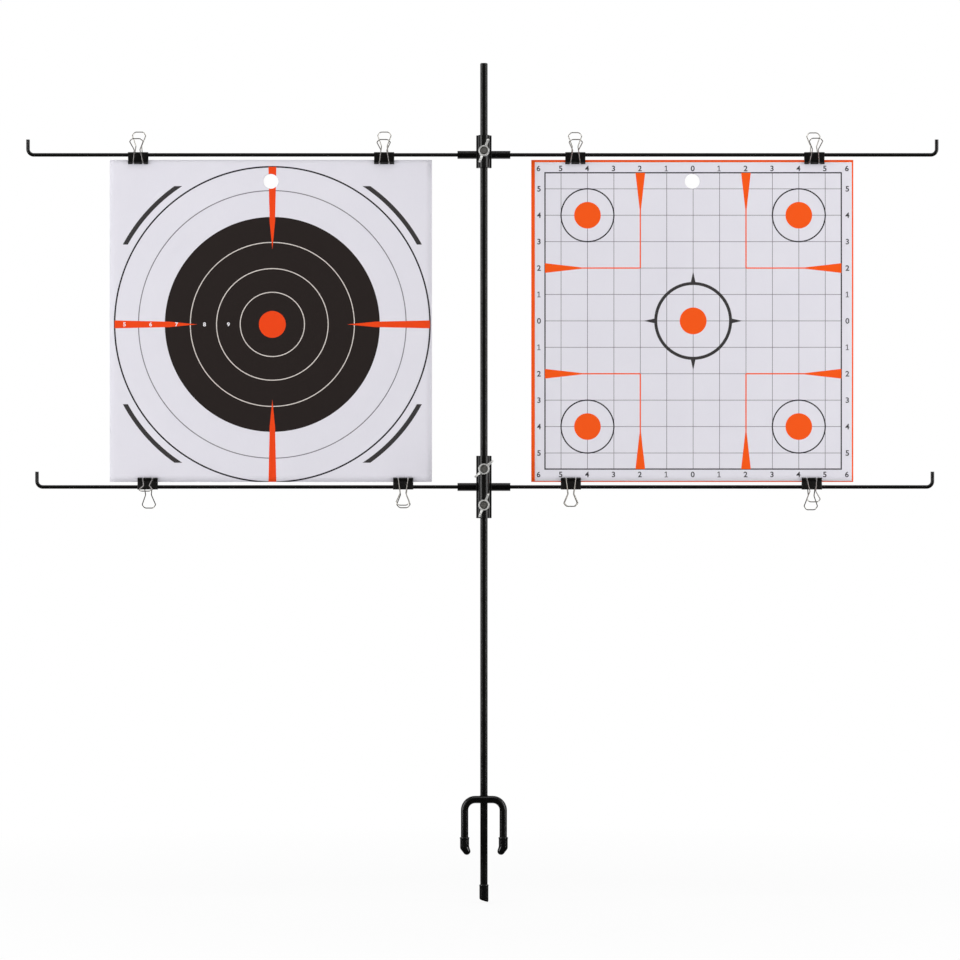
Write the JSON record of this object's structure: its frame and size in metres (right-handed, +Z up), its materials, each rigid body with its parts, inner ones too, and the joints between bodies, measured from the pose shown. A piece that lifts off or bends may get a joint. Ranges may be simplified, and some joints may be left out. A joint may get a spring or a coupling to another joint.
{
  "type": "target stand",
  "caption": "Push-in target stand: a steel post on a step-bar stake, thin cross arms held by wing-screw brackets, and spring clips holding two square card targets side by side.",
  "frame": {"origin": "on the post's axis at ground level, level with the underside of the step bar", "axes": "+Z up along the post, +X to the right seen from the front, -Y the front, towards the shooter"},
  "size_m": [0.8635, 0.0535, 0.7924],
  "materials": {
    "rod_paint": "satin black powder coat",
    "bracket_paint": "satin black powder coat",
    "vinyl": "dipped black vinyl, slightly matt",
    "zinc": "zinc-plated casting",
    "screw_steel": "dark phosphated thread",
    "clip_steel": "black lacquered spring steel",
    "wire": "nickel-plated spring wire",
    "card": "uncoated white card"
  },
  "bodies": {
    "stake": {"lower_post": "rod_paint", "step_bar": "rod_paint", "stake_cap": "vinyl", "left_prong_cap": "vinyl", "right_prong_cap": "vinyl", "lower_bracket": "bracket_paint", "lower_cross_tube": "bracket_paint", "lower_left_outer_clip": "clip_steel", "lower_left_inner_clip": "clip_steel", "lower_right_inner_clip": "clip_steel", "lower_right_outer_clip": "clip_steel"},
    "upper_post": {"upper_post": "rod_paint"},
    "crossarm": {"upper_bracket": "bracket_paint", "upper_cross_tube": "bracket_paint", "upper_left_outer_clip": "clip_steel", "upper_left_inner_clip": "clip_steel", "upper_right_inner_clip": "clip_steel", "upper_right_outer_clip": "clip_steel", "left_target_card": "card", "right_target_card": "card"},
    "upper_left_arm": {"upper_left_arm": "rod_paint"},
    "upper_right_arm": {"upper_right_arm": "rod_paint"},
    "lower_left_arm": {"lower_left_arm": "rod_paint"},
    "lower_right_arm": {"lower_right_arm": "rod_paint"},
    "upper_clamp": {"upper_clamp_stud": "screw_steel", "upper_clamp_wings": "zinc"},
    "lower_clamp_top": {"lower_clamp_top_stud": "screw_steel", "lower_clamp_top_wings": "zinc"},
    "lower_clamp_bottom": {"lower_clamp_bottom_stud": "screw_steel", "lower_clamp_bottom_wings": "zinc"},
    "upper_left_outer_front_handle": {"upper_left_outer_front_handle": "wire"},
    "upper_left_outer_back_handle": {"upper_left_outer_back_handle": "wire"},
    "upper_left_inner_front_handle": {"upper_left_inner_front_handle": "wire"},
    "upper_left_inner_back_handle": {"upper_left_inner_back_handle": "wire"},
    "upper_right_inner_front_handle": {"upper_right_inner_front_handle": "wire"},
    "upper_right_inner_back_handle": {"upper_right_inner_back_handle": "wire"},
    "upper_right_outer_front_handle": {"upper_right_outer_front_handle": "wire"},
    "upper_right_outer_back_handle": {"upper_right_outer_back_handle": "wire"},
    "lower_left_outer_front_handle": {"lower_left_outer_front_handle": "wire"},
    "lower_left_outer_back_handle": {"lower_left_outer_back_handle": "wire"},
    "lower_left_inner_front_handle": {"lower_left_inner_front_handle": "wire"},
    "lower_left_inner_back_handle": {"lower_left_inner_back_handle": "wire"},
    "lower_right_inner_front_handle": {"lower_right_inner_front_handle": "wire"},
    "lower_right_inner_back_handle": {"lower_right_inner_back_handle": "wire"},
    "lower_right_outer_front_handle": {"lower_right_outer_front_handle": "wire"},
    "lower_right_outer_back_handle": {"lower_right_outer_back_handle": "wire"}
  },
  "joints": [
    {"name": "upper_post_slide", "type": "slide", "parent": "stake", "child": "upper_post", "axis": [0, 0, 1], "range_m": [0, 0.03]},
    {"name": "crossarm_slide", "type": "slide", "parent": "upper_post", "child": "crossarm", "axis": [0, 0, 1], "range_m": [-0.002, 0.065]},
    {"name": "upper_left_arm_slide", "type": "slide", "parent": "crossarm", "child": "upper_left_arm", "axis": [-1, 0, 0], "range_m": [-0.0112, 0.0135]},
    {"name": "upper_right_arm_slide", "type": "slide", "parent": "crossarm", "child": "upper_right_arm", "axis": [1, 0, 0], "range_m": [-0.0082, 0.0165]},
    {"name": "lower_left_arm_slide", "type": "slide", "parent": "stake", "child": "lower_left_arm", "axis": [-1, 0, 0], "range_m": [-0.0027, 0.022]},
    {"name": "lower_right_arm_slide", "type": "slide", "parent": "stake", "child": "lower_right_arm", "axis": [1, 0, 0], "range_m": [-0.0042, 0.0205]},
    {"name": "upper_clamp_turn", "type": "hinge", "parent": "crossarm", "child": "upper_clamp", "pos_m": [0, -0.00735, 0.615], "axis": [0, -1, 0], "continuous": true},
    {"name": "lower_clamp_top_turn", "type": "hinge", "parent": "stake", "child": "lower_clamp_top", "pos_m": [0, -0.00735, 0.3152], "axis": [0, -1, 0], "continuous": true},
    {"name": "lower_clamp_bottom_turn", "type": "hinge", "parent": "stake", "child": "lower_clamp_bottom", "pos_m": [0, -0.00735, 0.2812], "axis": [0, -1, 0], "continuous": true},
    {"name": "upper_left_outer_front_handle_hinge", "type": "hinge", "parent": "crossarm", "child": "upper_left_outer_front_handle", "pos_m": [-0.3272, 0.0083, 0.6047], "axis": [1, 0, 0], "range_deg": [-28.5, 128]},
    {"name": "upper_left_outer_back_handle_hinge", "type": "hinge", "parent": "crossarm", "child": "upper_left_outer_back_handle", "pos_m": [-0.3272, 0.0114, 0.6047], "axis": [-1, 0, 0], "range_deg": [-0.5, 156]},
    {"name": "upper_left_inner_front_handle_hinge", "type": "hinge", "parent": "crossarm", "child": "upper_left_inner_front_handle", "pos_m": [-0.0944, 0.0083, 0.6047], "axis": [1, 0, 0], "range_deg": [-30.5, 126]},
    {"name": "upper_left_inner_back_handle_hinge", "type": "hinge", "parent": "crossarm", "child": "upper_left_inner_back_handle", "pos_m": [-0.0944, 0.0114, 0.6047], "axis": [-1, 0, 0], "range_deg": [-0.5, 156]},
    {"name": "upper_right_inner_front_handle_hinge", "type": "hinge", "parent": "crossarm", "child": "upper_right_inner_front_handle", "pos_m": [0.0865, 0.0083, 0.6047], "axis": [1, 0, 0], "range_deg": [-30.5, 126]},
    {"name": "upper_right_inner_back_handle_hinge", "type": "hinge", "parent": "crossarm", "child": "upper_right_inner_back_handle", "pos_m": [0.0865, 0.0114, 0.6047], "axis": [-1, 0, 0], "range_deg": [-2.5, 154]},
    {"name": "upper_right_outer_front_handle_hinge", "type": "hinge", "parent": "crossarm", "child": "upper_right_outer_front_handle", "pos_m": [0.3127, 0.0083, 0.6047], "axis": [1, 0, 0], "range_deg": [-27.5, 129]},
    {"name": "upper_right_outer_back_handle_hinge", "type": "hinge", "parent": "crossarm", "child": "upper_right_outer_back_handle", "pos_m": [0.3127, 0.0114, 0.6047], "axis": [-1, 0, 0], "range_deg": [-3.5, 153]},
    {"name": "lower_left_outer_front_handle_hinge", "type": "hinge", "parent": "stake", "child": "lower_left_outer_front_handle", "pos_m": [-0.3182, 0.0083, 0.306], "axis": [-1, 0, 0], "range_deg": [-48.5, 108]},
    {"name": "lower_left_outer_back_handle_hinge", "type": "hinge", "parent": "stake", "child": "lower_left_outer_back_handle", "pos_m": [-0.3182, 0.0114, 0.306], "axis": [1, 0, 0], "range_deg": [-10.5, 146]},
    {"name": "lower_left_inner_front_handle_hinge", "type": "hinge", "parent": "stake", "child": "lower_left_inner_front_handle", "pos_m": [-0.0764, 0.0083, 0.306], "axis": [-1, 0, 0], "range_deg": [-19.5, 137]},
    {"name": "lower_left_inner_back_handle_hinge", "type": "hinge", "parent": "stake", "child": "lower_left_inner_back_handle", "pos_m": [-0.0764, 0.0114, 0.306], "axis": [1, 0, 0], "range_deg": [-11.5, 145]},
    {"name": "lower_right_inner_front_handle_hinge", "type": "hinge", "parent": "stake", "child": "lower_right_inner_front_handle", "pos_m": [0.0823, 0.0083, 0.306], "axis": [-1, 0, 0], "range_deg": [-16.5, 140]},
    {"name": "lower_right_inner_back_handle_hinge", "type": "hinge", "parent": "stake", "child": "lower_right_inner_back_handle", "pos_m": [0.0823, 0.0114, 0.306], "axis": [1, 0, 0], "range_deg": [-15.5, 141]},
    {"name": "lower_right_outer_front_handle_hinge", "type": "hinge", "parent": "stake", "child": "lower_right_outer_front_handle", "pos_m": [0.3103, 0.0083, 0.306], "axis": [-1, 0, 0], "range_deg": [-27.5, 129]},
    {"name": "lower_right_outer_back_handle_hinge", "type": "hinge", "parent": "stake", "child": "lower_right_outer_back_handle", "pos_m": [0.3103, 0.0114, 0.306], "axis": [1, 0, 0], "range_deg": [-4.5, 152]}
  ]
}
